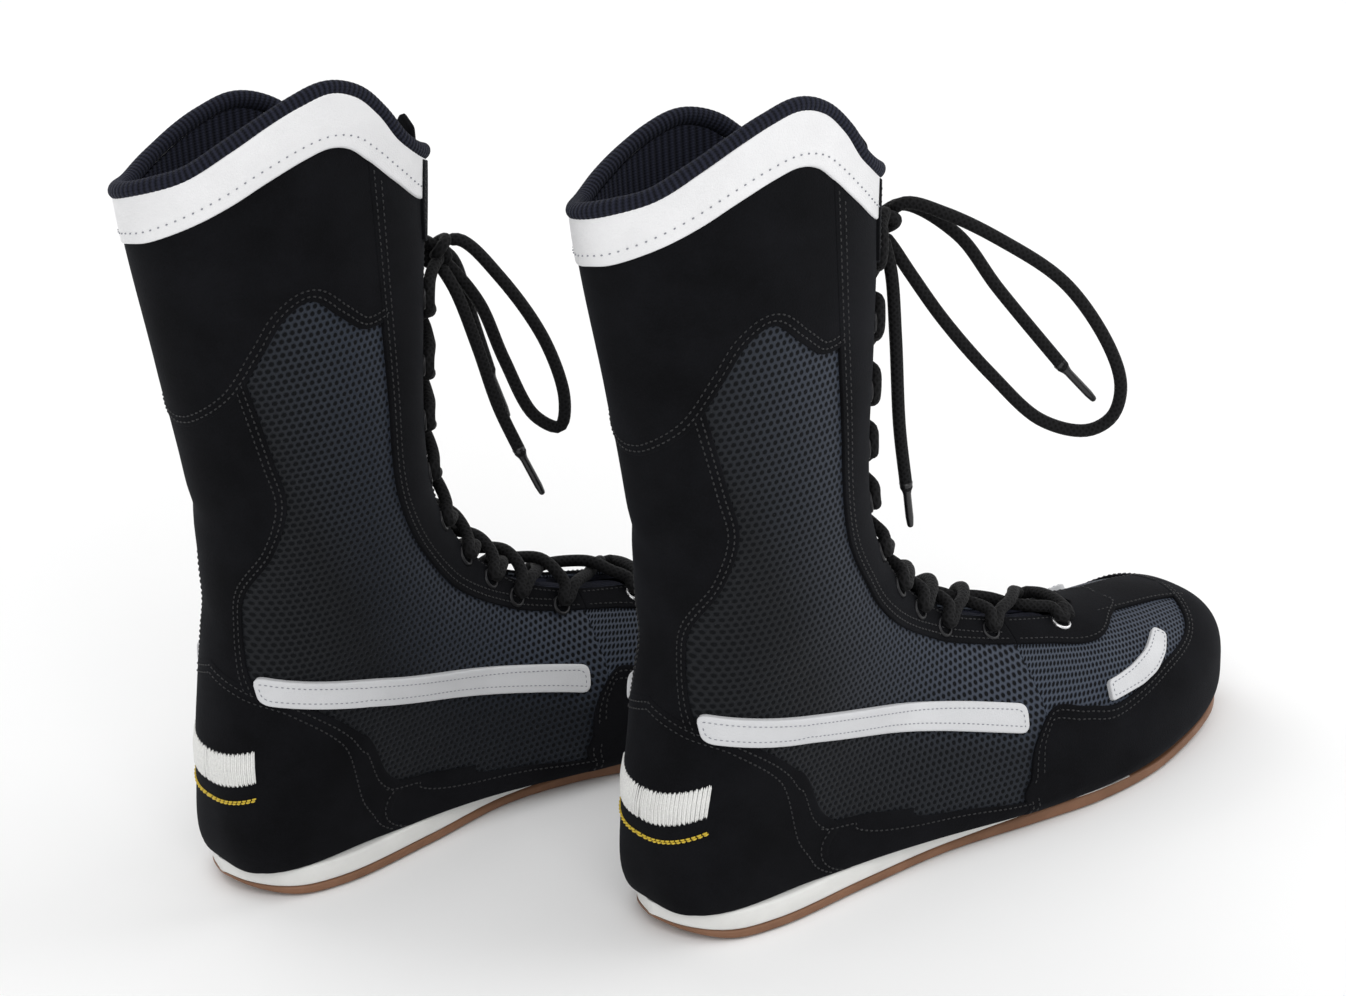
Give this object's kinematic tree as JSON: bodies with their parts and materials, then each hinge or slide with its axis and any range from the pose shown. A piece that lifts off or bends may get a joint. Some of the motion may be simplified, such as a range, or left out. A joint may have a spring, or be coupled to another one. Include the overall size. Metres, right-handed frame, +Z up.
{
  "type": "boxing boots",
  "caption": "A pair of high lace-up boots with mesh and suede uppers, padded collars, leather bands and thin flexible soles, hinged at ankle and ball.",
  "frame": {"origin": "on the floor, under the middle of the box round the two boots without their free laces", "axes": "+X towards the toes, +Y from the right boot to the left boot, +Z up"},
  "size_m": [0.3974, 0.2379, 0.3142],
  "materials": {
    "black_suede": "napped suede",
    "mesh_cloth": "open spacer mesh",
    "white_leather": "smooth satin leather",
    "collar_knit": "ribbed padded knit",
    "lace_cord": "braided cord",
    "white_foam": "matte foam",
    "gum_rubber": "matte gum rubber"
  },
  "bodies": {
    "feet": {"right_outsole_heel": "gum_rubber", "right_midsole": "white_foam", "right_insole": "collar_knit", "right_lining": "collar_knit", "right_heel_counter": "black_suede", "right_ankle_panel": "black_suede", "right_quarter_lateral": "mesh_cloth", "right_quarter_medial": "mesh_cloth", "right_rand_lateral": "black_suede", "right_rand_medial": "black_suede", "right_eyestay_lateral": "black_suede", "right_eyestay_medial": "black_suede", "right_stripe_lateral": "white_leather", "right_stripe_medial": "white_leather", "right_tongue": "collar_knit", "right_lace": "lace_cord", "left_outsole_heel": "gum_rubber", "left_midsole": "white_foam", "left_insole": "collar_knit", "left_lining": "collar_knit", "left_heel_counter": "black_suede", "left_ankle_panel": "black_suede", "left_quarter_lateral": "mesh_cloth", "left_quarter_medial": "mesh_cloth", "left_rand_lateral": "black_suede", "left_rand_medial": "black_suede", "left_eyestay_lateral": "black_suede", "left_eyestay_medial": "black_suede", "left_stripe_lateral": "white_leather", "left_stripe_medial": "white_leather", "left_tongue": "collar_knit", "left_lace": "lace_cord"},
    "right_shaft": {"right_shaft_panel": "black_suede", "right_collar_band": "white_leather", "right_collar_roll": "collar_knit", "right_tongue_tab": "black_suede", "right_lace_loop": "lace_cord", "right_lace_end_a": "lace_cord", "right_lace_end_b": "lace_cord"},
    "right_toe": {"right_outsole_toe": "gum_rubber", "right_toe_cap": "black_suede", "right_toe_strip": "black_suede", "right_toe_mesh_lateral": "mesh_cloth", "right_toe_mesh_medial": "mesh_cloth", "right_toe_flash_lateral": "white_leather", "right_toe_flash_medial": "white_leather"},
    "left_shaft": {"left_shaft_panel": "black_suede", "left_collar_band": "white_leather", "left_collar_roll": "collar_knit", "left_tongue_tab": "black_suede", "left_lace_loop": "lace_cord", "left_lace_end_a": "lace_cord", "left_lace_end_b": "lace_cord"},
    "left_toe": {"left_outsole_toe": "gum_rubber", "left_toe_cap": "black_suede", "left_toe_strip": "black_suede", "left_toe_mesh_lateral": "mesh_cloth", "left_toe_mesh_medial": "mesh_cloth", "left_toe_flash_lateral": "white_leather", "left_toe_flash_medial": "white_leather"}
  },
  "joints": [
    {"name": "right_ankle_flex", "type": "hinge", "parent": "feet", "child": "right_shaft", "pos_m": [-0.02975, -0.069, 0.1], "axis": [0, 1, 0], "range_deg": [-15, 20], "stiffness_Nm_per_rad": 2, "deforming": ["right_lining", "right_ankle_panel", "right_quarter_lateral", "right_quarter_medial", "right_eyestay_lateral", "right_eyestay_medial", "right_tongue", "right_lace"]},
    {"name": "right_toe_flex", "type": "hinge", "parent": "feet", "child": "right_toe", "pos_m": [0.11325, -0.069, 0.005], "axis": [0, -1, 0], "range_deg": [0, 25], "stiffness_Nm_per_rad": 2, "deforming": ["right_insole", "right_toe_cap", "right_toe_strip", "right_toe_mesh_lateral", "right_toe_mesh_medial"]},
    {"name": "left_ankle_flex", "type": "hinge", "parent": "feet", "child": "left_shaft", "pos_m": [-0.13175, 0.069, 0.1], "axis": [0, 1, 0], "range_deg": [-15, 20], "stiffness_Nm_per_rad": 2, "deforming": ["left_lining", "left_ankle_panel", "left_quarter_lateral", "left_quarter_medial", "left_eyestay_lateral", "left_eyestay_medial", "left_tongue", "left_lace"]},
    {"name": "left_toe_flex", "type": "hinge", "parent": "feet", "child": "left_toe", "pos_m": [0.01125, 0.069, 0.005], "axis": [0, -1, 0], "range_deg": [0, 25], "stiffness_Nm_per_rad": 2, "deforming": ["left_insole", "left_toe_cap", "left_toe_strip", "left_toe_mesh_lateral", "left_toe_mesh_medial"]}
  ]
}
